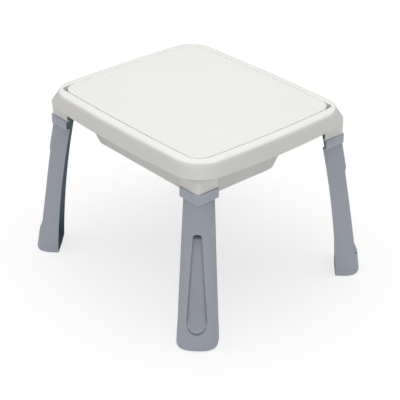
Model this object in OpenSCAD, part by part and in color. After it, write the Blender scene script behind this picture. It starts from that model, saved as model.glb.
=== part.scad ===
// Children's table with a storage tub under a lift-off lid.
// Millimetres. The origin is on the floor under the middle of the table,
// +Z is up and X runs along the longer side. The front is the -Y side.

/* [Table top] */
// Height of the top surface above the floor
table_h = 500; // [460:5:540]
// Half length of the lid opening, at its corners
open_a = 282.2; // [280:0.1:284]
// Half depth of the lid opening, at its corners
open_b = 236; // [234.5:0.1:237.5]
// Corner radius of the lid
lid_r = 38; // [30:1:42]
// How far the short sides bow outwards at their middles
bow_a = 8.5; // [4:0.5:9]
// How far the long sides bow outwards at their middles
bow_b = 6.4; // [3:0.1:7]
// Wall thickness of the rim and the skirt
shell_t = 3; // [2.4:0.1:3.6]
// How far the foot of the skirt stands out from the lid opening
skirt_w = 41.7; // [41:0.1:43]
// Height of the skirt at the corners
skirt_h = 36.2; // [34:0.2:37]
// How much lower the skirt reaches at the middle of each side
skirt_sag = 7.4; // [4:0.2:9]

/* [Lid] */
// Gap between the lid and the rim
lid_gap = 1.8; // [1.2:0.1:2.4]
// Depth of the lid's edge
lid_edge = 9.5; // [9:0.1:9.7]
// Thickness of the lid's plate
lid_t = 3.5; // [3:0.1:4.5]
// Thickness of the ribs under the lid
lid_rib = 2.5; // [2:0.1:3.5]
// Corner radius of the opening at the two finger corners
finger_r = 13.5; // [12:0.5:18]

/* [Storage tub] */
// Height of the tub's bottom above the floor, below a 500 mm top
tub_drop = 154; // [140:1:158]
// Half length of the tub's bottom
tub_x = 224; // [215:1:228]
// Front edge of the tub's bottom
tub_front = -181; // [-184:1:-170]
// Rear edge of the tub's bottom
tub_rear = 100; // [80:1:104]
// Wall thickness of the tub
tub_t = 2.6; // [2.2:0.1:3.2]
// Depth of the shallow tray behind the tub
tray_deep = 26; // [18:1:32]

/* [Posts] */
// Outer face of the corner posts, along X
post_x = 306.8; // [306:0.1:307.2]
// Outer face of the corner posts, along Y
post_y = 257.5; // [256.7:0.1:257.9]
// Wall thickness of the posts
post_t = 5; // [4.5:0.1:5.5]
// Corner radius of the posts
post_r = 7; // [6.5:0.5:10]
// Distance from the top surface to the bottom of the posts
post_low = 79; // [76:0.5:82]

/* [Legs] */
// Width of each wing of the leg's square collar
collar_w = 70; // [68:0.5:71]
// Height of the collar
collar_h = 27.4; // [25:0.1:29]
// How far the collar stands out from the post
collar_out = 3; // [2.6:0.1:3.6]
// Diagonal distance of the leg's open edge from the centre line, at the floor
leg_reach = 398.3; // [394:0.1:400]
// Half width of the leg at the floor
leg_w = 55.1; // [52:0.1:56]
// How much narrower each half of the leg is at its top
leg_taper = 15.7; // [12:0.1:16]
// Depth of the half-round leg at mid height
leg_d = 52.3; // [50:0.1:53]
// Wall thickness of the leg
leg_t = 3; // [2.6:0.1:3.4]
// Thickness of the sole plate
sole_t = 3; // [2.5:0.1:4]
// Edge rounding at the floor
foot_r = 5.6; // [4:0.2:8]
// Depth of the recess on the outer corner of the leg, at its top
recess_top = 4.4; // [2:0.1:5]
// Extra depth of that recess near the foot
recess_more = 1.9; // [1:0.1:3]
// Extra depth of the pocket under the recess's arch
pocket = 11; // [6:0.5:12]
// How far the lower edge of the recess stands proud
recess_proud = 1.4; // [0.4:0.1:1.6]
// Depth of the groove below that edge
recess_groove = 1.8; // [0.8:0.1:2]

/* [Screws] */
// Radius of the screw heads
head_r = 3.8; // [3.4:0.1:4.4]
// Radius of the screw shanks
shank_r = 1.95; // [1.7:0.05:2]

/* [Hidden] */
$fn = 48;

CREAM = [0.90, 0.90, 0.87];
TUBC = [0.86, 0.86, 0.83];
GREY = [0.53, 0.55, 0.60];
STEEL = [0.72, 0.72, 0.74];

zt = table_h;
NA = 8;                                // steps in each corner arc
NS = 8;                                // steps along each side
collar_x = post_x + collar_out;
collar_y = post_y + collar_out;
collar_top = zt - post_low - 0.3;
collar_low = collar_top - collar_h;
tongue_x = post_x - post_t - 0.3;      // outer face of the tongue
tongue_y = post_y - post_t - 0.3;
tongue_t = 3;
tongue_top = zt - 45;
ledge_z = zt - 12.5;
flange_z = ledge_z + 0.3;
flange_t = 2.4;
lid_low = zt - lid_edge;
leg_top = collar_low + 2;              // the shell ends inside the web
screw_z = zt - 60;
screw_off = 34;                        // screw distance from the outer corner
head_h = 2.2;

// ---- outlines -------------------------------------------------------

function sgn(v) = v < 0 ? -1 : 1;

// Corner order: front right, back right, back left, front left
CX = [1, 1, -1, -1];
CY = [-1, 1, 1, -1];
function arc_pt(q, a, b, r, t) = [CX[q]*(a - r) + r*cos(90*q - 90 + 90*t), CY[q]*(b - r) + r*sin(90*q - 90 + 90*t)];

// Rectangle of half size a x b with a radius for each corner
function rounded(a, b, r, ns = NS) = [for (q = [0:3]) each concat(
    [for (i = [0:NA]) arc_pt(q, a, b, r[q], i/NA)],
    let (p = arc_pt(q, a, b, r[q], 1), n = (q + 1) % 4, e = arc_pt(n, a, b, r[n], 0))
        [for (k = [1:1:ns-1]) p + (e - p)*k/ns])];

// The same with its sides bowed outwards
function bowed(a, b, r) = [for (p = rounded(a, b, r))
    [p[0] + sgn(p[0])*bow_a*max(0, 1 - pow(p[1]/b, 2))*pow(p[0]/a, 2),
     p[1] + sgn(p[1])*bow_b*max(0, 1 - pow(p[0]/a, 2))*pow(p[1]/b, 2)]];

// Corner radii at a distance w outside the lid opening
function rim_r(w) = w > 27 ? 71 + (w - 27)*0.15 : 38 + 33*w/27;
function well_r(w) = w > 27 ? rim_r(w) : finger_r + (71 - finger_r)*(w - 0.9)/26.1;
function radii(w) = w < 0.5 ? [lid_r + w, lid_r + w, lid_r + w, lid_r + w]
    : [rim_r(w), well_r(w), rim_r(w), well_r(w)];

// One level of the rim: w outwards from the lid opening, at height z.
// low is how far the middle of each side hangs down, well how far the two
// finger corners go down.
function level(w, z, low = 0, well = 0) =
    let (a = open_a + w, b = open_b + w, o = bowed(a, b, radii(w)), m = NA + NS)
    [for (i = [0:len(o)-1]) let (p = o[i], q = floor(i/m), k = i - q*m,
        s = max(0, 1 - pow(p[0]/a, 2), 1 - pow(p[1]/b, 2)),
        f = (q == 1 || q == 3) && k <= NA ? 1 : 0)
        [p[0], p[1], z - low*s - well*f]];

// ---- solids from levels ---------------------------------------------

// strip closes the ends of a folded section with a band of quads
module skin(rings, loop = false, strip = false) {
    n = len(rings[0]);
    m = len(rings);
    side = [for (i = [0:(loop ? m-1 : m-2)], j = [0:n-1])
        let (u = (i + 1) % m, v = (j + 1) % n)
        each [[i*n + j, u*n + j, u*n + v], [i*n + j, u*n + v, i*n + v]]];
    ends = loop ? [] : strip
        ? [for (k = [0:n/2-2], b = [0, (m-1)*n]) let (f = [k, k+1, n-2-k, n-1-k])
            [for (i = [0:3]) b + f[b > 0 ? 3 - i : i]]]
        : [[for (j = [0:n-1]) j], [for (j = [n-1:-1:0]) (m-1)*n + j]];
    polyhedron(points = [for (r = rings) each r], faces = concat(side, ends), convexity = 10);
}

// Square corner block, outer planes x and y, width w, outer radius r
module corner_block(x, y, w, r) {
    translate([x - w, y - w]) square([w - r, w]);
    translate([x - w, y - w]) square([w, w - r]);
    translate([x - r, y - r]) circle(r);
}

// L-shaped wall of thickness t
module ell(x, y, t, w, r) {
    difference() {
        corner_block(x, y, w, r);
        corner_block(x - t, y - t, w, max(r - t, 1));
    }
}

// ---- lid ------------------------------------------------------------

module lid() {
    g = -lid_gap/2;
    color(CREAM) union() {
        difference() {
            skin([level(g - 0.5, lid_low), level(g, lid_low + 0.8), level(g, zt - 1.8),
                level(g - 0.5, zt - 0.55), level(g - 1.7, zt)]);
            translate([0, 0, lid_low - 1])
                linear_extrude(lid_edge - lid_t + 1)
                    polygon(bowed(open_a + g - 3.4, open_b + g - 3.4, radii(g - 3.4)));
        }
        for (y = [-150, -50, 50, 150])
            translate([-(open_a - 3), y - lid_rib/2, lid_low + 1.2])
                cube([2*(open_a - 3), lid_rib, lid_edge - lid_t]);
        for (x = [-180, -60, 60, 180])
            translate([x - lid_rib/2, -(open_b - 3), lid_low + 1.2])
                cube([lid_rib, 2*(open_b - 3), lid_edge - lid_t]);
    }
}

// ---- top frame ------------------------------------------------------

EDGE_R = 10.5;                         // rounding between rim and skirt
EDGE_C = [17.6, -12];                  // its centre: outwards, and from the top
function edge_pt(r, t) = [EDGE_C[0] + r*cos(t), EDGE_C[1] + r*sin(t)];

module rim_and_skirt() {
    zb = zt - skirt_h;
    t = shell_t;
    skin(loop = true, rings = concat(
        [level(skirt_w - t + 0.6, zb, skirt_sag), level(skirt_w - 0.8, zb, skirt_sag), level(skirt_w, zb + 1, skirt_sag)],
        [for (a = [25, 37, 49, 61, 73, 85]) let (e = edge_pt(EDGE_R, a)) level(e[0], zt + e[1])],
        [level(10.5, zt - 0.4), level(3.4, zt), level(1.7, zt - 0.5), level(0.9, zt - 1.7)],
        [level(0.9, ledge_z, 0, 13.5), level(-13, ledge_z, 0, 13.5),
         level(-13, ledge_z - t, 0, 13.5), level(0.9 + t, ledge_z - t, 0, 13.5)],
        [level(0.9 + t, zt - 1.4 - t), level(12, zt - 2 - t)],
        [for (a = [85, 61, 43, 25]) let (e = edge_pt(EDGE_R - t, a)) level(e[0], zt + e[1])],
        [level(skirt_w - t - 0.2, zb + 1.2, skirt_sag)]));
}

// Room that the posts may take up inside the skirt
module inside_skirt() {
    skin([level(50, zt - 95), level(50, zt - skirt_h - 9), level(skirt_w - 1, zt - skirt_h - 0.6),
        level(25.8, zt - 8.2), level(16, zt - 2)]);
}

module post() {
    translate([0, 0, zt - post_low]) linear_extrude(post_low - 2)
        ell(post_x, post_y, post_t, collar_w - collar_out - 0.4, post_r);
}

// Both screw axes of one corner, child drawn along +Z from the inner face
module at_screws() {
    translate([tongue_x - tongue_t, post_y - screw_off, screw_z]) rotate([0, 90, 0]) children();
    translate([post_x - screw_off, tongue_y - tongue_t, screw_z]) rotate([-90, 0, 0]) children();
}

module corners() {
    for (sx = [0, 1], sy = [0, 1]) mirror([sx, 0, 0]) mirror([0, sy, 0]) children();
}

module top_frame() {
    color(CREAM) union() {
        rim_and_skirt();
        difference() {
            intersection() {
                corners() post();
                inside_skirt();
            }
            corners() at_screws() translate([0, 0, tongue_t + 0.1]) cylinder(h = 3.7, r = shank_r + 0.05);
        }
        for (x = [-200, -100, 0, 100, 200], s = [-1, 1])
            translate([x - 1.25, s > 0 ? open_b + 2 + bow_b*(1 - pow(x/open_a, 2)) : -(open_b + 24.5 + bow_b*(1 - pow(x/open_a, 2))), ledge_z - 2])
                cube([2.5, 22.5, 9.6]);
        for (y = [-120, 0, 120], s = [-1, 1])
            translate([s > 0 ? open_a + 2 + bow_a*(1 - pow(y/open_b, 2)) : -(open_a + 24.5 + bow_a*(1 - pow(y/open_b, 2))), y - 1.25, ledge_z - 2])
                cube([22.5, 2.5, 9.6]);
    }
}

// ---- storage tub ----------------------------------------------------

TUB_Z = zt - tub_drop;
TUB_S = 0.385;                         // outward slope of the walls
tub_mid = zt - 45;                     // the walls turn upright here

// Rounded rectangle between two corners, at height z
function box_level(x, y0, y1, r, z) = [for (p = rounded(x, (y1 - y0)/2, [r, r, r, r], 1)) [p[0], p[1] + (y0 + y1)/2, z]];

// One level of the tub, o outwards from its bottom outline
function tub_level(o, r, z) = box_level(tub_x + o, tub_front - o, tub_rear + o, r, z);
TUB_O = TUB_S*(tub_mid - TUB_Z - 6);   // outward reach where the walls turn
TUB_TOP = min(TUB_O + 1.5, 43.2);

TUB_X = tub_x + TUB_TOP;               // outlines at the flange
TUB_F = tub_front - TUB_TOP;
TUB_R = tub_rear + TUB_TOP;
TRAY_F = TUB_R + 8;
TRAY_B = -TUB_F;

function xy(ps) = [for (p = ps) [p[0], p[1]]];

// One moulding in three nodes: the bowl, the flange around it and the tray
module storage_tub() {
    t = tub_t;
    color(TUBC) skin([tub_level(-6, 34, TUB_Z), tub_level(-2.2, 38, TUB_Z + 1.4), tub_level(-0.4, 40, TUB_Z + 4.4), tub_level(0.6, 41, TUB_Z + 7.6),
        tub_level(TUB_O, 56, tub_mid), tub_level(TUB_TOP, 60, flange_z),
        tub_level(TUB_TOP - t, 57.4, flange_z), tub_level(TUB_O - t, 53.4, tub_mid + 0.5),
        tub_level(0.6 - t, 38.4, TUB_Z + 8.5), tub_level(-0.4 - t, 37.4, TUB_Z + 5.6), tub_level(-6, 34, TUB_Z + t)]);
}

module tub_flange() {
    color(TUBC) translate([0, 0, flange_z]) linear_extrude(flange_t) difference() {
        polygon(bowed(open_a - 2.3, open_b - 2.3, [36, 75, 36, 75]));
        polygon(xy(tub_level(TUB_TOP - tub_t, 57.4, 0)));
        polygon(xy(box_level(TUB_X - tub_t, TRAY_F - 2 + tub_t, TRAY_B - tub_t, 13.4, 0)));
    }
}

module tub_tray() {
    t = tub_t;
    z = flange_z + flange_t - tray_deep;
    color(TUBC) skin([box_level(TUB_X - 5, TRAY_F + 3, TRAY_B - 3, 12, z), box_level(TUB_X - 2, TRAY_F, TRAY_B, 15, z + 3),
        box_level(TUB_X, TRAY_F - 2, TRAY_B, 16, flange_z), box_level(TUB_X - t, TRAY_F - 2 + t, TRAY_B - t, 13.4, flange_z),
        box_level(TUB_X - 2 - t, TRAY_F + t, TRAY_B - t, 12.4, z + t + 2), box_level(TUB_X - 5 - t, TRAY_F + 3 + t, TRAY_B - 3 - t, 10, z + t)]);
}

// ---- legs -----------------------------------------------------------

// The leg is a half-round shell across the table's diagonal, open inwards.
// d runs outwards along the diagonal and w across it. z is the height in a
// leg for a 500 mm table.
ROWS = [0, 1.2, 2.9, 3.1, 6, 12, 24, 36, 45, 47, 51, 55, 60, 66, 73, 80, 90, 104, 125, 150, 180, 210, 240, 270, 296, 307, 311, 315, 318, 319.8, 320.6, 322.8, 323.6, 335, 355, 377, 398.4];
LEG_K = 24.17;
NSIDE = 7;
NMID = 5;
function leg_z(z) = z <= 20 ? z*(z > 2 && z < 4 ? sole_t/3 : 1) : 20 + (z - 20)*(leg_top - 20)/378.4;
function leg_c(z) = leg_reach - 23*(z/392) - 29.8*pow(z/392, 2);
function leg_hw(z) = leg_w - leg_taper*(z/392);
function leg_dp(z) = leg_d + 15.2*pow(1 - z/340, 2);
function leg_n(z) = 1.2 + 1.8*exp(-pow(z/42, 2));
function foot_in(z) = z >= foot_r ? 0 : foot_r*(1 - sqrt(1 - pow(1 - z/foot_r, 2)));

// Recess on the outer corner: half width, then how far a point lies inside its
// outline, with a round arch above and an ellipse below. i is 0 on the outer
// skin; on the inner skin the recess is wider and higher, to keep the wall.
function rec_w(z) = 32 - 0.0665*min(max(z, 76), 318);
function rec_s(z, w, i) = let (e = rec_w(z) + (i > 0 ? 2.5 : 0), y = z - i)
    min(e - abs(w), z < 78 ? 32*(1 - sqrt(pow(w/e, 2) + pow((78 - z)/(i > 0 ? 38 : 32), 2))) : 99,
        y > 309 ? 10*(1 - sqrt(pow(w/(e + 0.5), 2) + pow((y - 309)/11.4, 2))) : 99);
function ease(t) = let (u = min(1, max(0, t))) u*u*(3 - 2*u);
function rec_run(z) = let (u = min(1, max(0, (84 - z)/30))) 0.3*u + 0.7*ease(u);
function rec_floor(z, i) = (1 - rec_run(z))*-(recess_top + recess_more*(1 - z/318) + pocket*ease((z + 0.85*i - 305)/9)) + rec_run(z)*(i > 0 ? -1.2 : recess_proud);
function rec_h(z, w, i) = let (s = rec_s(z, w, i), u = i > 0 ? 0 : -recess_groove*rec_run(z), e = rec_w(z),
    b = 1.2 + 6.8*ease((78 - z)/26)*(1 - pow(min(1, w/e), 2)))
    s <= 0 ? 0 : s < 0.4 ? u*s/0.4 : u + (rec_floor(z, i) - u)*ease((s - 0.3)/b);

// Share of the half width with the crest rounded, and back. k is how round.
function crest(z) = max(0.05, 1.25 - 1.23*z/392);
function crest_k(k) = sqrt(1 + k*k) - k;
function to_u(v, k) = (sqrt(v*v + k*k) - k)/crest_k(k);
function from_u(u, k) = sqrt(max(0, pow(u*crest_k(k) + k, 2) - k*k));

// Depth of the section at w
function leg_at(w, W, D, n, k) = D*pow(max(0, 1 - pow(min(1, to_u(w/W, k)), n)), 1/n);

// Points of one skin, i inwards from the outer face, from +w to -w
function leg_skin(z, i) = let (
    j = i + foot_in(z), W = leg_hw(z) - j, D = leg_dp(z) - j, n = leg_n(z), c = leg_c(z),
    e = rec_w(z) + (i > 0 ? 2.5 : 0), r = crest(z), a = acos(pow(to_u(e/W, r), n/2)),
    side = [for (k = [0:NSIDE]) let (t = a*k/NSIDE) [W*from_u(pow(cos(t), 2/n), r), c + D*pow(sin(t), 2/n)]],
    m = e - 1.5,
    mid = [for (k = [0:NMID]) let (w = m - 2*m*k/NMID) [w, c + leg_at(w, W, D, n, r) + rec_h(z, w, i)]])
    concat(side, mid, [for (k = [NSIDE:-1:0]) [-side[k][0], side[k][1]]]);

function leg_xyz(p, z) = [(p[1] + p[0])/sqrt(2) + LEG_K, (p[1] - p[0])/sqrt(2) - LEG_K, z];

// Closed section: the outer skin and back along the inner skin, or along the
// nearly straight edge of the sole
function leg_ring(z) = let (o = leg_skin(z, 0), s = leg_skin(z, leg_t), n = len(o), c = leg_c(z), W = o[0][0], f = z < 3)
    concat([for (p = o) leg_xyz(p, leg_z(z))],
        [for (k = [n-1:-1:0]) leg_xyz(f ? [o[k][0]*0.96, c - 0.4 - 1.2*(1 - pow(o[k][0]/W, 2))] : s[k], leg_z(z))]);

module leg_shape() {
    difference() {
        union() {
            skin([for (z = ROWS) leg_ring(z)], strip = true);
            // collar: shelf under the post, outer wall and web to the shell
            translate([0, 0, collar_top - 3.5]) linear_extrude(3.5)
                ell(collar_x, collar_y, collar_out + post_t + 3.3 + tongue_t, collar_w, post_r);
            translate([0, 0, collar_low]) linear_extrude(collar_h)
                ell(collar_x, collar_y, 3.2, collar_w, post_r);
            translate([0, 0, collar_low]) linear_extrude(3) difference() {
                corner_block(collar_x, collar_y, collar_w, post_r);
                polygon(concat([for (p = leg_skin(393, leg_t - 0.6)) let (q = leg_xyz(p, 0)) [q[0], q[1]]],
                    [for (p = [[-60, leg_c(393) - 0.8], [-60, 250], [60, 250], [60, leg_c(393) - 0.8]]) let (q = leg_xyz(p, 0)) [q[0], q[1]]]));
            }
            // tongue that goes up inside the post
            translate([0, 0, collar_low]) linear_extrude(tongue_top - collar_low)
                ell(tongue_x, tongue_y, tongue_t, collar_w - collar_out - post_t - 10, max(post_r - post_t, 1));
        }
        at_screws() translate([0, 0, -1]) cylinder(h = tongue_t + 2, r = shank_r + 0.35);
    }
}

module leg_front_left() { color(GREY) mirror([1, 0, 0]) mirror([0, 1, 0]) leg_shape(); }
module leg_front_right() { color(GREY) mirror([0, 1, 0]) leg_shape(); }
module leg_back_left() { color(GREY) mirror([1, 0, 0]) leg_shape(); }
module leg_back_right() { color(GREY) leg_shape(); }

// ---- screws ---------------------------------------------------------

module screw() {
    difference() {
        translate([0, 0, -head_h]) cylinder(h = head_h, r = head_r);
        for (a = [0, 90]) rotate([0, 0, a]) translate([-2.2, -0.45, -head_h - 1]) cube([4.4, 0.9, 2.2]);
    }
    translate([0, 0, -0.4]) cylinder(h = tongue_t + 3.8, r = shank_r);
}

module leg_screws() { color(STEEL) corners() at_screws() screw(); }

lid();
top_frame();
storage_tub();
tub_flange();
tub_tray();
leg_front_left();
leg_front_right();
leg_back_left();
leg_back_right();
leg_screws();
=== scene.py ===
import bpy
import math
from mathutils import Matrix, Vector


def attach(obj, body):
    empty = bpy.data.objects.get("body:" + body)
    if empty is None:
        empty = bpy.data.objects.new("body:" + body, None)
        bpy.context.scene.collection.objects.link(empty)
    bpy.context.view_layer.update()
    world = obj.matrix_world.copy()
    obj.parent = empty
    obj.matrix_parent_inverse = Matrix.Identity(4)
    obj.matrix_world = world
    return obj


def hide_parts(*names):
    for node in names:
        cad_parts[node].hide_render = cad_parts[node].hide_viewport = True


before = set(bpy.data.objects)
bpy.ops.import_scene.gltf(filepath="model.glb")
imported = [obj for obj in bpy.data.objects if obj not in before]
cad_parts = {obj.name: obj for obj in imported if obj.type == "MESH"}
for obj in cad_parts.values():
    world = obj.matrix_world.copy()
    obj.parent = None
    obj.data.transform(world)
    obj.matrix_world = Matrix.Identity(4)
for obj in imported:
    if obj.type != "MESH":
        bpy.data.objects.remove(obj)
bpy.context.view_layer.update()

MM = 0.001

# ---------------------------------------------------------------- sizes
# The same dimensions as the CAD model, in millimetres.
ZT = 500.0
OPEN_A, OPEN_B = 282.2, 236.0
LID_R = 38.0
BOW_A, BOW_B = 8.5, 6.4
SHELL_T = 3.0
SKIRT_W, SKIRT_H, SKIRT_SAG = 41.7, 36.2, 7.4
LID_GAP, LID_EDGE, LID_T, LID_RIB = 1.8, 9.5, 3.5, 2.5
FINGER_R = 13.5
TUB_DROP, TUB_X, TUB_FRONT, TUB_REAR, TUB_T, TRAY_DEEP = 155.6, 226.2, -181.0, 102.4, 2.6, 26.0
POST_X, POST_Y, POST_T, POST_R, POST_LOW = 306.8, 257.5, 5.0, 7.0, 79.0
COLLAR_W, COLLAR_H, COLLAR_OUT = 70.0, 27.4, 3.0
LEG_REACH, LEG_W, LEG_TAPER, LEG_D, LEG_T = 398.3, 55.1, 15.7, 52.3, 3.0
SOLE_T, FOOT_R = 3.0, 5.6
RECESS_TOP, RECESS_MORE, POCKET, LIP, GROOVE = 4.4, 1.9, 11.0, 2.0, 4.4
HEAD_R, HEAD_H, SHANK_R = 3.8, 2.2, 1.95

COLLAR_X, COLLAR_Y = POST_X + COLLAR_OUT, POST_Y + COLLAR_OUT
COLLAR_TOP = ZT - POST_LOW - 0.3
COLLAR_LOW = COLLAR_TOP - COLLAR_H
TONGUE_X, TONGUE_Y, TONGUE_T = POST_X - POST_T - 0.3, POST_Y - POST_T - 0.3, 3.0
TONGUE_TOP = ZT - 45
LEDGE_Z = ZT - 12.5
FLANGE_Z, FLANGE_T = LEDGE_Z + 0.3, 2.4
LID_LOW = ZT - LID_EDGE
LEG_TOP = COLLAR_LOW + 2.0
SCREW_Z, SCREW_OFF = ZT - 60, 34.0

# ---------------------------------------------------------------- camera
F_PX, YAW, PITCH, ROLL = 1215.97, 49.04, 29.82, -0.13
EYE = Vector((2249.35, -1936.66, 1881.6)) * MM


def make_camera():
    a, e, q = (math.radians(v) for v in (YAW, PITCH, ROLL))
    back = Vector((math.sin(a) * math.cos(e), -math.cos(a) * math.cos(e), math.sin(e)))
    right = Vector((math.cos(a), math.sin(a), 0))
    up = back.cross(right)
    r = right * math.cos(q) + up * math.sin(q)
    u = up * math.cos(q) - right * math.sin(q)
    data = bpy.data.cameras.new("camera")
    data.sensor_width = 36
    data.lens = F_PX / 400 * 36
    data.clip_start, data.clip_end = 0.05, 100
    cam = bpy.data.objects.new("camera", data)
    m = Matrix((r, u, back)).transposed().to_4x4()
    m.translation = EYE
    cam.matrix_world = m
    bpy.context.scene.collection.objects.link(cam)
    bpy.context.scene.camera = cam
    return cam


make_camera()

# ---------------------------------------------------------------- mesh tools


def sgn(v):
    return -1.0 if v < 0 else 1.0


def smooth(t):
    t = min(1.0, max(0.0, t))
    return t * t * (3 - 2 * t)


def new_object(name, verts, faces):
    me = bpy.data.meshes.new(name)
    me.from_pydata([(x * MM, y * MM, z * MM) for x, y, z in verts], [], faces)
    me.validate()
    ob = bpy.data.objects.new(name, me)
    bpy.context.scene.collection.objects.link(ob)
    return ob


def loft(name, rings, loop=False):
    """A closed solid through rings of equal length, counter-clockwise seen from above and going up on the outside."""
    n, m = len(rings[0]), len(rings)
    verts = [p for r in rings for p in r]
    faces = []
    for i in range(m if loop else m - 1):
        u = (i + 1) % m
        for j in range(n):
            v = (j + 1) % n
            faces.append((i * n + j, i * n + v, u * n + v, u * n + j))
    if not loop:
        faces.append(tuple(range(n - 1, -1, -1)))
        faces.append(tuple((m - 1) * n + j for j in range(n)))
    return new_object(name, verts, faces)


def boolean(a, others, how="UNION", keep=False):
    """a joined with, cut by or limited to the other solids, which are removed."""
    for b in others:
        mod = a.modifiers.new("b", "BOOLEAN")
        mod.operation = how
        mod.object = b
        mod.solver = "MANIFOLD"
        dg = bpy.context.evaluated_depsgraph_get()
        me = bpy.data.meshes.new_from_object(a.evaluated_get(dg))
        old = a.data
        a.modifiers.clear()
        a.data = me
        bpy.data.meshes.remove(old)
        if not keep:
            bpy.data.objects.remove(b)
    return a


def finish_mesh(ob, name, angle=32.0, weighted=True):
    """Smooth shading, with normals weighted by face area so that flats stay flat beside their rounded edges."""
    ob.name = ob.data.name = name
    me = ob.data
    me.shade_smooth()
    me.set_sharp_from_angle(angle=math.radians(angle))
    if weighted:
        w = ob.modifiers.new("normals", "WEIGHTED_NORMAL")
        w.keep_sharp = True
        w.weight = 60
        w.mode = "FACE_AREA"
    return ob


def mirrored(ob, name, sx, sy):
    """A copy mirrored in X and Y, with its faces turned back the right way out."""
    me = ob.data.copy()
    me.transform(Matrix.Diagonal((sx, sy, 1, 1)))
    if sx * sy < 0:
        me.flip_normals()
    o = bpy.data.objects.new(name, me)
    bpy.context.scene.collection.objects.link(o)
    return o


# ---------------------------------------------------------------- outlines

NA, NS = 18, 22
CX, CY = (1, 1, -1, -1), (-1, 1, 1, -1)


def arc_pt(q, a, b, r, t):
    w = math.radians(90 * q - 90 + 90 * t)
    return (CX[q] * (a - r) + r * math.cos(w), CY[q] * (b - r) + r * math.sin(w))


def rounded(a, b, r, ns=NS, na=NA):
    out = []
    for q in range(4):
        out += [arc_pt(q, a, b, r[q], i / na) for i in range(na + 1)]
        p, n = out[-1], (q + 1) % 4
        e = arc_pt(n, a, b, r[n], 0)
        out += [(p[0] + (e[0] - p[0]) * k / ns, p[1] + (e[1] - p[1]) * k / ns) for k in range(1, ns)]
    return out


def bow(p, a, b):
    x, y = p
    return (x + sgn(x) * BOW_A * max(0, 1 - (y / b) ** 2) * (x / a) ** 2,
            y + sgn(y) * BOW_B * max(0, 1 - (x / a) ** 2) * (y / b) ** 2)


def rim_r(w):
    return 71 + (w - 27) * 0.15 if w > 27 else 38 + 33 * w / 27


def well_r(w):
    return rim_r(w) if w > 27 else FINGER_R + (71 - FINGER_R) * (w - 0.9) / 26.1


def radii(w):
    return [LID_R + w] * 4 if w < 0.5 else [rim_r(w), well_r(w)] * 2


def level(w, z, low=0.0, well=0.0, r=None):
    a, b = OPEN_A + w, OPEN_B + w
    out, m = [], NA + NS
    for i, p in enumerate(rounded(a, b, r or radii(w))):
        x, y = bow(p, a, b)
        s = max(0, 1 - (x / a) ** 2, 1 - (y / b) ** 2)
        q, k = divmod(i, m)
        f = 0.0
        if well:
            # the finger wells fade out along the first 45 mm of each side
            cx, cy = (a, b) if x * y > 0 else (1e9, 1e9)
            d = max(a - 40 - abs(x), b - 40 - abs(y)) if x * y > 0 else 1e9
            f = 1 - smooth((d + 5) / 40)
        out.append((x, y, z - low * s - well * f))
    return out


def box_level(x, y0, y1, r, z):
    return [(px, py + (y0 + y1) / 2, z) for px, py in rounded(x, (y1 - y0) / 2, [r] * 4, 4)]


def fillet(corners, n=6):
    """Outline through corners given as (x, y, radius), each rounded with n + 1 points."""
    out, m = [], len(corners)
    for i, (x, y, r) in enumerate(corners):
        p = Vector((x, y))
        a = (Vector(corners[i - 1][:2]) - p).normalized()
        b = (Vector(corners[(i + 1) % m][:2]) - p).normalized()
        half = a.angle(b) / 2
        t = r / math.tan(half)
        c = p + (a + b).normalized() * (r / math.sin(half))
        s, e = p + a * t - c, p + b * t - c
        turn = s.angle_signed(e)
        for k in range(n + 1):
            w = turn * k / n
            v = Vector((s.x * math.cos(w) + s.y * math.sin(w), -s.x * math.sin(w) + s.y * math.cos(w)))
            out.append((c.x + v.x, c.y + v.y))
    return out


def ell(x, y, t, w, r, i=0.0, e=1.2, n=6):
    """L-shaped outline with outer planes x and y, thickness t and wings w long, inset by i."""
    e = max(e - i, 0.15)
    x, y = x - i, y - i
    return fillet([(x, y - w + 2 * i, e), (x, y, r - i), (x - w + 2 * i, y, e), (x - w + 2 * i, y - t + 2 * i, e),
                   (x - t + 2 * i, y - t + 2 * i, max(r - t, 1) + i), (x - t + 2 * i, y - w + 2 * i, e)], n)


def prism(name, outline, z0, z1, low=0.0, top=0.0, steps=4):
    """A prism over outline(inset), with its lower and upper edges rounded by low and top."""
    rings = []
    for k in range(steps if low else 0):
        a = math.radians(90 * k / steps)
        rings.append((low * (1 - math.sin(a)), z0 + low * (1 - math.cos(a))))
    rings.append((0.0, z0 + low))
    rings.append((0.0, z1 - top))
    for k in range(1, steps + 1 if top else 0):
        a = math.radians(90 * k / steps)
        rings.append((top * (1 - math.cos(a)), z1 - top * (1 - math.sin(a))))
    return loft(name, [[(x, y, z) for x, y in outline(i)] for i, z in rings])


# ---------------------------------------------------------------- top frame

EDGE_R, EDGE_CW, EDGE_CZ = 10.5, 17.6, -12.0


def edge_pt(r, t):
    return EDGE_CW + r * math.cos(math.radians(t)), ZT + EDGE_CZ + r * math.sin(math.radians(t))


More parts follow.
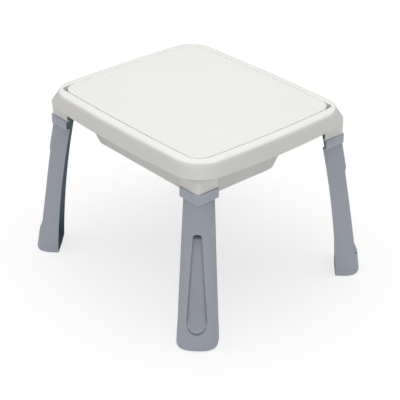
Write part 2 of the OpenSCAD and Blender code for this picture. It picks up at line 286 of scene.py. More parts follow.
def make_frame():
    zb, t, g = ZT - SKIRT_H, SHELL_T, SKIRT_SAG
    rings = []
    # lip at the foot of the skirt, rounded all round
    for k in range(0, 7):
        a = math.radians(180 + 30 * k)
        rings.append(level(SKIRT_W - t / 2 + t / 2 * math.cos(a) - 0.1, zb + t / 2 + t / 2 * math.sin(a), g))
    for k in range(1, 6):
        f = k / 6
        e = edge_pt(EDGE_R, 25)
        rings.append(level(SKIRT_W + (e[0] - SKIRT_W) * f, zb + 1.4 + (e[1] - zb - 1.4) * f, g * (1 - f)))
    for a in range(25, 86, 5):
        e = edge_pt(EDGE_R, a)
        rings.append(level(e[0], e[1]))
    for w, d in ((15.5, 1.25), (12.5, 0.75), (9.5, 0.38), (6.5, 0.14), (4.2, 0.02), (3.0, 0.05), (2.2, 0.26), (1.5, 0.7), (1.08, 1.3), (0.9, 2.1)):
        rings.append(level(w, ZT - d))
    rings.append(level(0.9, ZT - 6, 0, 3))
    rings.append(level(0.9, LEDGE_Z + 0.8, 0, 13.5))
    rings.append(level(0.65, LEDGE_Z + 0.25, 0, 13.5))
    rings.append(level(0.1, LEDGE_Z, 0, 13.5))
    rings.append(level(-12.2, LEDGE_Z, 0, 13.5))
    rings.append(level(-12.8, LEDGE_Z - 0.25, 0, 13.5))
    rings.append(level(-13, LEDGE_Z - 0.8, 0, 13.5))
    rings.append(level(-13, LEDGE_Z - t + 0.6, 0, 13.5))
    rings.append(level(-12.6, LEDGE_Z - t, 0, 13.5))
    rings.append(level(0.9 + t - 0.6, LEDGE_Z - t, 0, 13.5))
    rings.append(level(0.9 + t, LEDGE_Z - t + 0.6, 0, 13.5))
    rings.append(level(0.9 + t, ZT - 3.2 - t))
    rings.append(level(2 + t, ZT - 1.7 - t))
    rings.append(level(12, ZT - 1.4 - t))
    for a in (85, 75, 65, 55, 45, 35, 25):
        e = edge_pt(EDGE_R - t, a)
        rings.append(level(e[0], e[1]))
    ob = loft("rim", rings, loop=True)

    posts = []
    for sx in (1, -1):
        for sy in (1, -1):
            p = prism("post", lambda i: ell(POST_X, POST_Y, POST_T, COLLAR_W - COLLAR_OUT - 0.4, POST_R, i), ZT - POST_LOW, ZT - 2, low=1.0)
            m = mirrored(p, "post", sx, sy)
            bpy.data.objects.remove(p)
            posts.append(m)
    room = loft("room", [level(50, ZT - 95), level(50, ZT - SKIRT_H - 9), level(SKIRT_W - 1, ZT - SKIRT_H - 0.6),
                         level(25.8, ZT - 8.2), level(16, ZT - 2)])
    for p in posts:
        boolean(p, [room], "INTERSECT", keep=True)
    bpy.data.objects.remove(room)
    holes = []
    for sx in (1, -1):
        for sy in (1, -1):
            for at in screw_frames():
                h = cylinder("hole", SHANK_R + 0.05, 0, TONGUE_T + 3.8, 20)
                h.data.transform(at)
                h.data.transform(Matrix.Diagonal((sx, sy, 1, 1)))
                if sx * sy < 0:
                    h.data.flip_normals()
                holes.append(h)
    ribs = []
    for s in (1, -1):
        for x in (-200, -100, 0, 100, 200):
            b = OPEN_B + 2 + BOW_B * (1 - (x / OPEN_A) ** 2)
            ribs.append(rib("rib", x - 1.25, x + 1.25, *sorted((s * b, s * (b + 22.5))), LEDGE_Z - 2, LEDGE_Z + 7.6))
        for y in (-120, 0, 120):
            a = OPEN_A + 2 + BOW_A * (1 - (y / OPEN_B) ** 2)
            ribs.append(rib("rib", *sorted((s * a, s * (a + 22.5))), y - 1.25, y + 1.25, LEDGE_Z - 2, LEDGE_Z + 7.6))
    boolean(ob, posts + ribs)
    boolean(ob, holes, "DIFFERENCE")
    return ob


def rib(name, x0, x1, y0, y1, z0, z1, r=0.5):
    """A flat rib with its lower edges rounded, so that it meets the wall it stands on."""
    def out(i):
        return fillet([(x1 - i, y0 + i, 0.4), (x1 - i, y1 - i, 0.4), (x0 + i, y1 - i, 0.4), (x0 + i, y0 + i, 0.4)], 3)
    return prism(name, out, z0, z1, low=r, steps=3)


def cylinder(name, r, z0, z1, n=32, low=0.0, top=0.0):
    def out(i):
        return [((r - i) * math.cos(2 * math.pi * k / n), (r - i) * math.sin(2 * math.pi * k / n)) for k in range(n)]
    return prism(name, out, z0, z1, low, top, 3)


def screw_frames():
    """Both screw axes of the +X +Y corner, +Z outwards from the tongue's inner face, in metres."""
    a = Matrix.Translation(Vector((TONGUE_X - TONGUE_T, POST_Y - SCREW_OFF, SCREW_Z)) * MM) @ Matrix.Rotation(math.radians(90), 4, "Y")
    b = Matrix.Translation(Vector((POST_X - SCREW_OFF, TONGUE_Y - TONGUE_T, SCREW_Z)) * MM) @ Matrix.Rotation(math.radians(-90), 4, "X")
    return a, b


# ---------------------------------------------------------------- lid


def make_lid():
    g = -LID_GAP / 2
    rings = [level(g - 2.6, LID_LOW), level(g - 0.9, LID_LOW), level(g - 0.3, LID_LOW + 0.25), level(g, LID_LOW + 0.9), level(g, ZT - 2.0)]
    for k in range(1, 7):
        a = math.radians(15 * k)
        rings.append(level(g - 1.8 * (1 - math.cos(a)), ZT - 1.8 * (1 - math.sin(a))))
    rings.append(level(g - 4.0, ZT))
    top = rings
    # pocket underneath, one closed skin with the outside
    inner = [level(g - 3.4, LID_LOW + 0.8), level(g - 3.5, ZT - LID_T - 0.9), level(g - 3.8, ZT - LID_T - 0.3), level(g - 4.6, ZT - LID_T)]
    n = len(top[0])
    rings = list(reversed(inner)) + top
    ob = loft("lid", rings)
    ribs = []
    x1, y1 = OPEN_A - 3.0, OPEN_B - 3.0
    for y in (-150, -50, 50, 150):
        ribs.append(rib("rib", -x1, x1, y - LID_RIB / 2, y + LID_RIB / 2, LID_LOW + 1.2, ZT - LID_T + 1, 0.6))
    for x in (-180, -60, 60, 180):
        ribs.append(rib("rib", x - LID_RIB / 2, x + LID_RIB / 2, -y1, y1, LID_LOW + 1.2, ZT - LID_T + 1, 0.6))
    boolean(ob, ribs)
    return ob


# ---------------------------------------------------------------- storage tub

TUB_Z = ZT - TUB_DROP
TUB_MID = ZT - 45
TUB_O = 0.355 * (TUB_MID - TUB_Z - 6)
TUB_TOP = min(TUB_O + 1.5, 43.2)


def tub_level(o, r, z):
    return box_level(TUB_X + o, TUB_FRONT - o, TUB_REAR + o, r, z)


def make_tub():
    t, zf = TUB_T, FLANGE_Z + FLANGE_T
    top_x, top_f, top_r = TUB_X + TUB_TOP, TUB_FRONT - TUB_TOP, TUB_REAR + TUB_TOP
    tray_f, tray_b = top_r + 8, -top_f

    def wall(o_off, z_off, bend):
        """Side wall from the bottom rounding to the flange, o_off and z_off for the inner skin."""
        out = []
        for k in range(0, 9):
            f = k / 8
            o = 0.6 + (TUB_O - 0.6) * f
            out.append((o + o_off, 41 + 15 * f + o_off * 0.6, TUB_Z + 7.6 + z_off + (TUB_MID - TUB_Z - 7.6 - z_off) * f))
        return out

    outer = [(-9, 31, TUB_Z), (-6.5, 33.5, TUB_Z + 0.15), (-4.4, 35.6, TUB_Z + 0.7), (-2.6, 37.4, TUB_Z + 1.7), (-1.2, 39, TUB_Z + 3.1), (-0.2, 40, TUB_Z + 4.9)]
    outer += wall(0, 0, 0)
    outer += [(TUB_O + 0.9, 57.2, TUB_MID + 6), (TUB_TOP, 58.5, TUB_MID + 16), (TUB_TOP, 60, zf - 2.6), (TUB_TOP + 0.9, 60.9, zf - 1.2), (TUB_TOP + 0.9, 60.9, zf)]
    inner = [(TUB_TOP - t + 1.4, 58.8, zf), (TUB_TOP - t + 0.5, 57.9, zf - 0.35), (TUB_TOP - t, 57.4, zf - 1.3), (TUB_TOP - t, 56, TUB_MID + 16), (TUB_O + 0.9 - t, 54.6, TUB_MID + 6)]
    inner += list(reversed(wall(-t, 1.0, 0)))
    inner += [(-0.6 - t, 37.6, TUB_Z + 6.4), (-2.2 - t, 36, TUB_Z + 4.4), (-4.6 - t, 33.4, TUB_Z + 3.1), (-7.4 - t, 30.8, TUB_Z + t)]
    deep = loft("tub", [tub_level(*v) for v in outer + inner])

    def tray_level(ox, of, ob_, r, z):
        return box_level(top_x + ox, tray_f + of, tray_b + ob_, r, z)
    d = zf - TRAY_DEEP
    tray = loft("tray", [tray_level(-6, 4, -4, 11, d), tray_level(-4, 2, -2, 13, d + 0.5), tray_level(-2.6, 0.6, -0.6, 14.4, d + 1.8), tray_level(-2, 0, 0, 15, d + 4),
                         tray_level(0, -2, 0, 16, zf - 3), tray_level(0.4, -2.4, 0.4, 16.4, zf),
                         tray_level(-t + 1.3, -2 + t - 1.3, -t + 1.3, 14.6, zf), tray_level(-t + 0.4, -2 + t - 0.4, -t + 0.4, 13.8, zf - 0.35), tray_level(-t, -2 + t, -t, 13.4, zf - 1.3),
                         tray_level(-2 - t, t, -t, 12.4, d + t + 3.4), tray_level(-2.7 - t, 0.7 + t, -0.7 - t, 11.6, d + t + 1.5),
                         tray_level(-4.2 - t, 2.2 + t, -2.2 - t, 10, d + t + 0.4), tray_level(-6.4 - t, 4.4 + t, -4.4 - t, 8, d + t)])

    def flange_level(i, z):
        a, b = OPEN_A - 2.3 - i, OPEN_B - 2.3 - i
        return [(*bow(p, a, b), z) for p in rounded(a, b, [36 - i, 75 - i, 36 - i, 75 - i])]
    fl = loft("flange", [flange_level(0.6, FLANGE_Z), flange_level(0.15, FLANGE_Z + 0.2), flange_level(0, FLANGE_Z + 0.7), flange_level(0, zf - 0.7),
                         flange_level(0.2, zf - 0.2), flange_level(0.7, zf)])
    hole1 = loft("hole", [tub_level(TUB_TOP - t + 1.9, 59.3, z) for z in (FLANGE_Z - 5, zf + 5)])
    hole2 = loft("hole", [tray_level(-t + 1.9, -2 + t - 1.9, -t + 1.9, 15.2, z) for z in (FLANGE_Z - 5, zf + 5)])
    boolean(fl, [hole1, hole2], "DIFFERENCE")
    boolean(fl, [deep, tray])
    return fl


# ---------------------------------------------------------------- legs

LEG_K = 24.17


def crest(z):
    """How round the outer corner of the section is."""
    return max(0.05, 1.25 - 1.23 * z / 392)


def crest_k(k):
    return math.sqrt(1 + k * k) - k


def to_u(v, k):
    return (math.sqrt(v * v + k * k) - k) / crest_k(k)


def from_u(u, k):
    return math.sqrt(max(0, (u * crest_k(k) + k) ** 2 - k * k))


def leg_c(z):
    return LEG_REACH - 23 * (z / 392) - 29.8 * (z / 392) ** 2


def leg_hw(z):
    return LEG_W - LEG_TAPER * (z / 392)


def leg_dp(z):
    return LEG_D + 15.2 * (1 - z / 340) ** 2


def leg_n(z):
    """Inner and outer power of the section: fuller sides near the floor."""
    low = math.exp(-((z / 42) ** 2))
    return 1.2 + 0.2 * low, 1.2 + 2.9 * low


def foot_in(z):
    return 0.0 if z >= FOOT_R else FOOT_R * (1 - math.sqrt(1 - (1 - z / FOOT_R) ** 2))


def rec_w(z):
    return 32 - 0.0665 * min(max(z, 76), 318)


def rec_s(z, w, i):
    """How far a point of the outer corner lies inside the outline of the recess: a round arch above, an ellipse below."""
    e, y = rec_w(z) + (2.5 if i > 0 else 0), z - i
    s = e - abs(w)
    if z < 78:
        s = min(s, 32 * (1 - math.sqrt((w / e) ** 2 + ((78 - z) / (39 if i > 0 else 33.5)) ** 2)))
    if y > 309:
        s = min(s, 10 * (1 - math.sqrt((w / (e + 0.5)) ** 2 + ((y - 309) / 11.4) ** 2)))
    return s


def rec_run(z):
    u = min(1.0, max(0.0, (80 - z) / 24))
    return 0.6 * u + 0.4 * smooth(u)


def rec_h(z, w, i):
    """Height of the recess above the plain skin. A pocket under the arch, then a floor that rises
    towards the foot and ends in a low lip, with a groove between the lip and the lower outline."""
    s, run, e = rec_s(z, w, i), rec_run(z), rec_w(z)
    if s <= 0:
        return 0.0
    floor = -(1 - run) * (RECESS_TOP + RECESS_MORE * (1 - z / 318) + POCKET * smooth((z + 0.85 * i - 305) / 9)) - run * LIP
    if i > 0:
        return (floor - 1.5 * run) * smooth(s / 1.5)
    b = rec_band(z, w)
    under = -GROOVE * run
    if s < 0.22 * b:
        return (under + (floor - under) * (1 - run)) * smooth(s / (0.22 * b))
    low = under + (floor - under) * (1 - run)
    ridge = 2.3 * smooth((80 - z) / 16) * math.exp(-((s - b) / 1.2) ** 2)
    return low + (floor - low) * smooth((s - 0.22 * b) / (0.78 * b)) ** 0.8 + ridge


def rec_band(z, w):
    """Width of the band between the outline of the recess and its floor."""
    return 2.4 + 7.6 * smooth((76 - z) / 24) * (1 - min(1, abs(w) / rec_w(z)) ** 2)


def leg_at(w, W, D, n, k):
    return D * max(0.0, 1 - min(1.0, to_u(w / W, k)) ** n[0]) ** (1 / n[1])


NSIDE = 18
# offsets of the sample lines from the edge of the recess, then across it
RIM = (0.0, 0.2, 0.45, 0.75, 1.05, 1.4, 1.9, 2.7, 3.8, 5.2, 6.8)
NMID = 12


def leg_skin(z, i):
    j = i + foot_in(z)
    W, D, n, c, r = leg_hw(z) - j, leg_dp(z) - j, leg_n(z), leg_c(z), crest(z)
    e = rec_w(z) + (2.5 if i > 0 else 0)
    a = math.acos(to_u(e / W, r) ** (n[0] / 2))
    side = []
    for k in range(NSIDE + 1):
        t = a * (k / NSIDE) ** 1.5
        side.append((W * from_u(math.cos(t) ** (2 / n[0]), r), c + D * math.sin(t) ** (2 / n[1])))
    mid = []
    lines = [e - v * min(1, e / 9.5) for v in RIM[1:]]
    m = lines[-1]
    lines += [m - 2 * m * k / NMID for k in range(1, NMID)] + [-v for v in reversed(lines)]
    for w in lines:
        mid.append((w, c + leg_at(w, W, D, n, r) + rec_h(z, w, i)))
    return side + mid + [(-w, d) for w, d in reversed(side)]


def leg_xyz(w, d, z):
    return ((d + w) / math.sqrt(2) + LEG_K, (d - w) / math.sqrt(2) - LEG_K, z)


def leg_z(z):
    return z if z <= 20 else 20 + (z - 20) * (LEG_TOP - 20) / 378.4


def leg_ring(z):
    o, s, c = leg_skin(z, 0), leg_skin(z, LEG_T), leg_c(z)
    W = o[0][0]
    if z < 3:
        back = [(w * 0.96, c - 0.4 - 1.2 * (1 - (w / W) ** 2)) for w, d in reversed(o)]
    else:
        back = list(reversed(s))
    return [leg_xyz(w, d, leg_z(z)) for w, d in o + back]


def make_leg():
    rows = [0, 0.35, 0.9, 1.8, 2.9, 3.1, 4, 5.2, 7.2, 9.5, 12, 16, 20, 26, 32, 37, 40, 42, 43] + [43.7 + 0.5 * k for k in range(50)]
    rows += list(range(69, 112, 2)) + list(range(112, 296, 8)) + [298] + [302 + 0.6 * k for k in range(12)] + [309.2 + 0.4 * k for k in range(38)]
    rows += [324.4, 326.5, 330, 336, 344, 352, 360, 368, 376, 384, 391, 398.4]
    ob = loft("leg", [leg_ring(float(z)) for z in rows])

    wall_t = COLLAR_OUT + POST_T + 3.3 + TONGUE_T
    shelf = prism("shelf", lambda i: ell(COLLAR_X, COLLAR_Y, wall_t, COLLAR_W, POST_R, i), COLLAR_TOP - 3.5, COLLAR_TOP, low=0.0, top=1.2)
    wall = prism("wall", lambda i: ell(COLLAR_X, COLLAR_Y, 3.2, COLLAR_W, POST_R, i), COLLAR_LOW, COLLAR_TOP - 0.6, low=1.2, top=0.0)

    # web that joins the collar to the shell
    inner = [leg_xyz(w, d, 0) for w, d in leg_skin(393, LEG_T - 0.6)]
    c = leg_c(393) - 0.8
    cut = [(x, y) for x, y, _ in inner] + [leg_xyz(w, d, 0)[:2] for w, d in ((-60, c), (-60, 250), (60, 250), (60, c))]
    web = prism("web", lambda i: fillet([(COLLAR_X - i, COLLAR_Y - COLLAR_W + i, 1.2), (COLLAR_X - i, COLLAR_Y - i, POST_R - i),
                                        (COLLAR_X - COLLAR_W + i, COLLAR_Y - i, 1.2), (COLLAR_X - COLLAR_W + i, COLLAR_Y - COLLAR_W + i, 1.2)], 6),
                COLLAR_LOW, COLLAR_LOW + 3, low=1.2)
    cutter = loft("cut", [[(x, y, z) for x, y in cut] for z in (COLLAR_LOW - 5, COLLAR_LOW + 9)])
    boolean(web, [cutter], "DIFFERENCE")
    tongue = prism("tongue", lambda i: ell(TONGUE_X, TONGUE_Y, TONGUE_T, COLLAR_W - COLLAR_OUT - POST_T - 10, max(POST_R - POST_T, 1), i), COLLAR_LOW, TONGUE_TOP, top=0.8)
    boolean(ob, [web, wall, shelf, tongue])
    holes = []
    for at in screw_frames():
        h = cylinder("hole", SHANK_R + 0.35, -1, TONGUE_T + 0.3, 24)
        h.data.transform(at)
        holes.append(h)
    boolean(ob, holes, "DIFFERENCE")
    mark_painted_shade(ob)
    return ob


def mark_painted_shade(ob):
    """Marks where the leg's colour gets painted shade, for the material: the inner faces of the shell and the collar,
    the pocket under the recess's arch, the floor below it and the groove at its foot; a negative mark along the lip
    paints a highlight.
    """
    at = ob.data.attributes.new("inside", "FLOAT", "POINT")
    for v in ob.data.vertices:
        x, y, z = (c / MM for c in v.co)
        w, d = (x - LEG_K - y - LEG_K) / math.sqrt(2), (x - LEG_K + y + LEG_K) / math.sqrt(2)
        q = z if z <= 20 else 20 + (z - 20) * 378.4 / (LEG_TOP - 20)
        if z < 0.5:
            continue
        # painted shade in the collar's inner corner
        if z > COLLAR_LOW + 1.0:
            if z < COLLAR_TOP - 1.5 and x < COLLAR_X - 2.7 and y < COLLAR_Y - 2.7:
                at.data[v.index].value = 1.0
            continue
        W = leg_hw(q) - foot_in(q)
        depth = leg_c(q) + leg_at(min(abs(w), W), W, leg_dp(q) - foot_in(q), leg_n(q), crest(q)) + rec_h(q, w, 0) - d
        s = rec_s(q, w, 0)
        band = rec_band(q, w)
        # painted shadow in the recess: the deep pocket under the arch, the floor below it fading downwards, and the
        # groove at the recess's foot
        up = max(0.0, 309 - q)
        shade = 0.17 + 0.3 * math.exp(-up / 10) + 0.2 * math.exp(-((up / 35) ** 2))
        pocket = max(smooth((-rec_h(q, w, 0) - 8) / 5), shade * smooth((s - band * 0.7) / 1.2),
                     0.44 * smooth((68 - q) / 8) * smooth(s / (0.1 * band)) * smooth((band * 0.88 - s) / (0.12 * band)))
        # painted highlight: a negative mark along the lip at the recess's foot
        pocket -= 0.75 * smooth((76 - q) / 10) * math.exp(-((s - band - 0.2) / 1.0) ** 2) if s > 0 else 0.0
        # painted shade on the shell's inner faces
        deep = smooth((depth - 1.2) / 1.0) if abs(w) < W - 0.8 else 0.0
        at.data[v.index].value = max(pocket, deep) if deep > 0.02 else pocket


# ---------------------------------------------------------------- screws


def make_screw():
    head = cylinder("head", HEAD_R, -HEAD_H, 0, 40, low=1.0)
    cross = []
    for a in (0, 90):
        b = prism("slot", lambda i: fillet([(2.2, -0.45, 0.1), (2.2, 0.45, 0.1), (-2.2, 0.45, 0.1), (-2.2, -0.45, 0.1)], 2), -HEAD_H - 1, -HEAD_H + 1.2)
        b.data.transform(Matrix.Rotation(math.radians(a), 4, "Z"))
        cross.append(b)
    boolean(head, cross, "DIFFERENCE")
    shank = cylinder("shank", SHANK_R, -0.4, TONGUE_T + 3.4, 24, top=0.4)
    boolean(head, [shank])
    return head


def make_screws():
    one = make_screw()
    parts = []
    for sx in (1, -1):
        for sy in (1, -1):
            for at in screw_frames():
                me = one.data.copy()
                me.transform(at)
                me.transform(Matrix.Diagonal((sx, sy, 1, 1)))
                if sx * sy < 0:
                    me.flip_normals()
                parts.append(me)
    bpy.data.objects.remove(one)
    verts, faces = [], []
    for me in parts:
        k = len(verts)
        verts += [tuple(c / MM for c in v.co) for v in me.vertices]
        faces += [tuple(k + i for i in p.vertices) for p in me.polygons]
        bpy.data.meshes.remove(me)
    return new_object("screws", verts, faces)


# ---------------------------------------------------------------- materials


def principled(name):
    mat = bpy.data.materials.new(name)
    mat.use_nodes = True
    nt = mat.node_tree
    bsdf = nt.nodes["Principled BSDF"]
    return mat, nt, bsdf


def add(nt, kind, **values):
    n = nt.nodes.new(kind)
    for k, v in values.items():
        if k in n.inputs:
            n.inputs[k].default_value = v
        else:
            setattr(n, k, v)
    return n


def moulded_plastic(name, base, rough, grain_mm, grain, mottle, ior=1.49, sss=0.0, collar=0.0, inside=1.0, bands=()):
    """Moulded plastic: a fine pebbled texture, a slow waviness of the skin, and small shifts of colour and gloss.
    collar is painted light: it lightens the part above the legs' shells. inside darkens the faces marked on the legs
    with painted shade, bluer where deep, and paints a highlight where the mark is negative; and bands (from, to, value,
    value) paint light and shade into the colour over the height."""
    mat, nt, bsdf = principled(name)
    link = nt.links.new
    tc = add(nt, "ShaderNodeTexCoord")
    co = tc.outputs["Object"]
    # slow mottle of the colour and the gloss
    big = add(nt, "ShaderNodeTexNoise", Scale=9.0, Detail=4.0, Roughness=0.55)
    link(co, big.inputs["Vector"])
    mid = add(nt, "ShaderNodeTexNoise", Scale=70.0, Detail=3.0, Roughness=0.6)
    link(co, mid.inputs["Vector"])
    ramp = add(nt, "ShaderNodeValToRGB")
    ramp.color_ramp.elements[0].position = 0.3
    ramp.color_ramp.elements[1].position = 0.7
    dark = [c * (1 - mottle) for c in base]
    light = [min(1, c * (1 + mottle * 0.6)) for c in base]
    ramp.color_ramp.elements[0].color = (*dark, 1)
    ramp.color_ramp.elements[1].color = (*light, 1)
    link(big.outputs["Fac"], ramp.inputs["Fac"])
    colour = ramp.outputs["Color"]
    # painted light and shade: the colour is scaled by bands over the height
    if bands:
        xyz = add(nt, "ShaderNodeSeparateXYZ")
        link(co, xyz.inputs["Vector"])
        fac = None
        for z0, z1, v0, v1 in bands:
            m = add(nt, "ShaderNodeMapRange")
            for k, v in (("From Min", z0 * MM), ("From Max", z1 * MM), ("To Min", v0), ("To Max", v1)):
                m.inputs[k].default_value = v
            link(xyz.outputs["Z"], m.inputs["Value"])
            if fac is None:
                fac = m.outputs["Result"]
            else:
                q = add(nt, "ShaderNodeMath")
                q.operation = "MULTIPLY"
                link(fac, q.inputs[0])
                link(m.outputs["Result"], q.inputs[1])
                fac = q.outputs[0]
        mul = add(nt, "ShaderNodeVectorMath")
        mul.operation = "SCALE"
        link(colour, mul.inputs[0])
        link(fac, mul.inputs["Scale"])
        colour = mul.outputs["Vector"]
    # painted light: the leg above the top of its shell, the collar, is lightened by the collar factor
    if collar:
        xyz = add(nt, "ShaderNodeSeparateXYZ")
        link(co, xyz.inputs["Vector"])
        up = add(nt, "ShaderNodeMapRange")
        up.inputs["From Min"].default_value = (COLLAR_LOW - 0.6) * MM
        up.inputs["From Max"].default_value = (COLLAR_LOW + 0.4) * MM
        up.inputs["To Min"].default_value = 1.0
        up.inputs["To Max"].default_value = collar
        link(xyz.outputs["Z"], up.inputs["Value"])
        # painted shade: the faces marked on the leg are darkened by the inside factor, and unclamped negative marks
        # give a painted highlight
        at = add(nt, "ShaderNodeAttribute")
        at.attribute_name = "inside"
        shade = add(nt, "ShaderNodeMapRange")
        shade.clamp = False
        shade.inputs["To Min"].default_value = 1.0
        shade.inputs["To Max"].default_value = inside
        link(at.outputs["Fac"], shade.inputs["Value"])
        both = add(nt, "ShaderNodeMath")
        both.operation = "MULTIPLY"
        link(up.outputs["Result"], both.inputs[0])
        link(shade.outputs["Result"], both.inputs[1])
        mul = add(nt, "ShaderNodeVectorMath")
        mul.operation = "SCALE"
        link(colour, mul.inputs[0])
        link(both.outputs[0], mul.inputs["Scale"])
        # painted bounce light: where the painted shade is deep it is also tinted bluer
        cool = add(nt, "ShaderNodeMix")
        cool.data_type = "RGBA"
        cool.inputs["A"].default_value = (1, 1, 1, 1)
        cool.inputs["B"].default_value = (0.78, 1.06, 1.16, 1)
        deep = add(nt, "ShaderNodeMapRange")
        deep.inputs["From Min"].default_value = 0.5
        link(at.outputs["Fac"], deep.inputs["Value"])
        link(deep.outputs["Result"], cool.inputs["Factor"])
        tint = add(nt, "ShaderNodeVectorMath")
        tint.operation = "MULTIPLY"
        link(mul.outputs["Vector"], tint.inputs[0])
        link(cool.outputs["Result"], tint.inputs[1])
        colour = tint.outputs["Vector"]
    link(colour, bsdf.inputs["Base Color"])
    rr = add(nt, "ShaderNodeMapRange")
    rr.inputs["From Min"].default_value = 0.3
    rr.inputs["From Max"].default_value = 0.7
    rr.inputs["To Min"].default_value = rough - 0.04
    rr.inputs["To Max"].default_value = rough + 0.05
    link(mid.outputs["Fac"], rr.inputs["Value"])
    link(rr.outputs["Result"], bsdf.inputs["Roughness"])
    # pebbled skin
    peb = add(nt, "ShaderNodeTexVoronoi", Scale=1000.0 / grain_mm)
    peb.feature = "SMOOTH_F1"
    link(co, peb.inputs["Vector"])
    b1 = add(nt, "ShaderNodeBump", Strength=grain, Distance=0.00012)
    link(peb.outputs["Distance"], b1.inputs["Height"])
    wav = add(nt, "ShaderNodeTexNoise", Scale=26.0, Detail=2.0, Roughness=0.5)
    link(co, wav.inputs["Vector"])
    b2 = add(nt, "ShaderNodeBump", Strength=0.18, Distance=0.0006)
    link(wav.outputs["Fac"], b2.inputs["Height"])
    link(b1.outputs["Normal"], b2.inputs["Normal"])
    link(b2.outputs["Normal"], bsdf.inputs["Normal"])
    bsdf.inputs["IOR"].default_value = ior
    if sss:
        bsdf.inputs["Subsurface Weight"].default_value = sss
        bsdf.inputs["Subsurface Radius"].default_value = (1.0, 0.9, 0.8)
        bsdf.inputs["Subsurface Scale"].default_value = 0.003
    return mat


def zinc_steel(name):
    mat, nt, bsdf = principled(name)
    link = nt.links.new
    tc = add(nt, "ShaderNodeTexCoord")
    n1 = add(nt, "ShaderNodeTexNoise", Scale=900.0, Detail=3.0)
    link(tc.outputs["Object"], n1.inputs["Vector"])
    ramp = add(nt, "ShaderNodeValToRGB")
    ramp.color_ramp.elements[0].color = (0.52, 0.52, 0.53, 1)
    ramp.color_ramp.elements[1].color = (0.78, 0.78, 0.79, 1)
    link(n1.outputs["Fac"], ramp.inputs["Fac"])
    link(ramp.outputs["Color"], bsdf.inputs["Base Color"])
    b = add(nt, "ShaderNodeBump", Strength=0.2, Distance=0.0001)
    link(n1.outputs["Fac"], b.inputs["Height"])
    link(b.outputs["Normal"], bsdf.inputs["Normal"])
    bsdf.inputs["Metallic"].default_value = 1.0
    bsdf.inputs["Roughness"].default_value = 0.34
    return mat


# colour factors: painted light on the legs' collars, painted shade on the faces marked on the legs
PAINTED_COLLAR_LIGHT, PAINTED_INNER_SHADE = 1.13, 0.42
CREAM_LID = moulded_plastic("lid_plastic", (0.86, 0.865, 0.835), 0.52, 0.9, 0.55, 0.012, sss=0.05)
# painted light and shade on the frame: the posts below the skirt lightened, the skirt's walls darkened, the rim's top
# lightened
CREAM_RIM = moulded_plastic("frame_plastic", (0.88, 0.87, 0.835), 0.42, 1.1, 0.25, 0.012, sss=0.05,
                            bands=((448, 458, 1.10, 0.94), (486, 493, 1.0, 1.09)))
CREAM_TUB = moulded_plastic("tub_plastic", (0.875, 0.87, 0.825), 0.42, 1.1, 0.25, 0.012, sss=0.05)
GREY_LEG = moulded_plastic("leg_plastic", (0.475, 0.505, 0.585), 0.45, 1.0, 0.35, 0.02, collar=PAINTED_COLLAR_LIGHT, inside=PAINTED_INNER_SHADE)
STEEL = zinc_steel("screw_steel")

# ---------------------------------------------------------------- build


def place(ob, name, node, mat, body, angle=32.0):
    finish_mesh(ob, name, angle)
    ob.data.materials.clear()
    ob.data.materials.append(mat)
    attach(ob, body)
    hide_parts(*((node,) if isinstance(node, str) else node))
    return ob


leg = make_leg()
for name, sx, sy in (("back_right", 1, 1), ("back_left", -1, 1), ("front_right", 1, -1), ("front_left", -1, -1)):
    place(mirrored(leg, name, sx, sy), "moulded_leg_" + name, "leg_" + name, GREY_LEG, "table", 28)
bpy.data.objects.remove(leg)
place(make_frame(), "moulded_top_frame", "top_frame", CREAM_RIM, "table")
place(make_tub(), "moulded_tub", ("storage_tub", "tub_flange", "tub_tray"), CREAM_TUB, "tub")
place(make_lid(), "moulded_lid", "lid", CREAM_LID, "lid")
place(make_screws(), "pan_head_screws", "leg_screws", STEEL, "table")

# ---------------------------------------------------------------- floor and light

FLOOR_SEEN, FLOOR_GLOW, FLOOR_BACK, SKY, TOP_LIGHT, FILL = 0.35, 0.70, 0.94, 0.31, 47, 4
bpy.context.scene.view_settings.view_transform = "Standard"


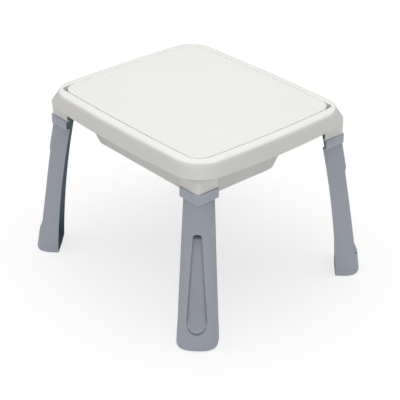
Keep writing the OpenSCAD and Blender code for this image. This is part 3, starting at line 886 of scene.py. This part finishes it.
def make_floor(name, z, base, glow, far=0.0):
    s = 8000
    ob = new_object(name, [(-s, -s, z), (s, -s, z), (s, s, z), (-s, s, z)], [(0, 1, 2, 3)])
    mat, nt, bsdf = principled(name + "_white")
    bsdf.inputs["Base Color"].default_value = (base, base, base, 1)
    bsdf.inputs["Roughness"].default_value = 0.9
    bsdf.inputs["Specular IOR Level"].default_value = 0.0
    bsdf.inputs["Emission Color"].default_value = (1, 1, 1, 1)
    bsdf.inputs["Emission Strength"].default_value = glow
    if far:
        # painted shade: the sweep's glow is dimmer near the table, a soft shadow round it, and whiter away from it
        tc = add(nt, "ShaderNodeTexCoord")
        d = add(nt, "ShaderNodeVectorMath")
        d.operation = "LENGTH"
        nt.links.new(tc.outputs["Object"], d.inputs[0])
        m = add(nt, "ShaderNodeMapRange")
        m.interpolation_type = "SMOOTHSTEP"
        for k, v in (("From Min", 0.2), ("From Max", 2.2), ("To Min", glow), ("To Max", far)):
            m.inputs[k].default_value = v
        nt.links.new(d.outputs["Value"], m.inputs["Value"])
        nt.links.new(m.outputs["Result"], bsdf.inputs["Emission Strength"])
    ob.data.materials.append(mat)
    return ob


# The floor that is seen is a lit white sweep. The one just under it only gives back light to the table.
seen = make_floor("floor", 0.0, FLOOR_SEEN, FLOOR_GLOW, 0.9)
seen.visible_diffuse = seen.visible_glossy = seen.visible_transmission = seen.visible_shadow = False
back = make_floor("floor_bounce", -0.4, FLOOR_BACK, 0.0)
back.visible_camera = False

world = bpy.data.worlds.new("studio")
bpy.context.scene.world = world
world.use_nodes = True
bg = world.node_tree.nodes["Background"]
bg.inputs["Color"].default_value = (1, 1, 1, 1)
bg.inputs["Strength"].default_value = SKY


def area(name, at, to, size, power):
    data = bpy.data.lights.new(name, "AREA")
    data.shape = "RECTANGLE"
    data.size, data.size_y = size
    data.energy = power
    ob = bpy.data.objects.new(name, data)
    ob.location = at
    ob.rotation_mode = "QUATERNION"
    ob.rotation_quaternion = (Vector(to) - Vector(at)).to_track_quat("-Z", "Y")
    bpy.context.scene.collection.objects.link(ob)
    return ob


area("overhead", (0.0, 0.0, 2.6), (0, 0, 0), (2.6, 2.6), TOP_LIGHT)
area("front_fill", (1.85, -1.62, 0.75), (0, 0, 0.35), (3.0, 1.4), FILL)
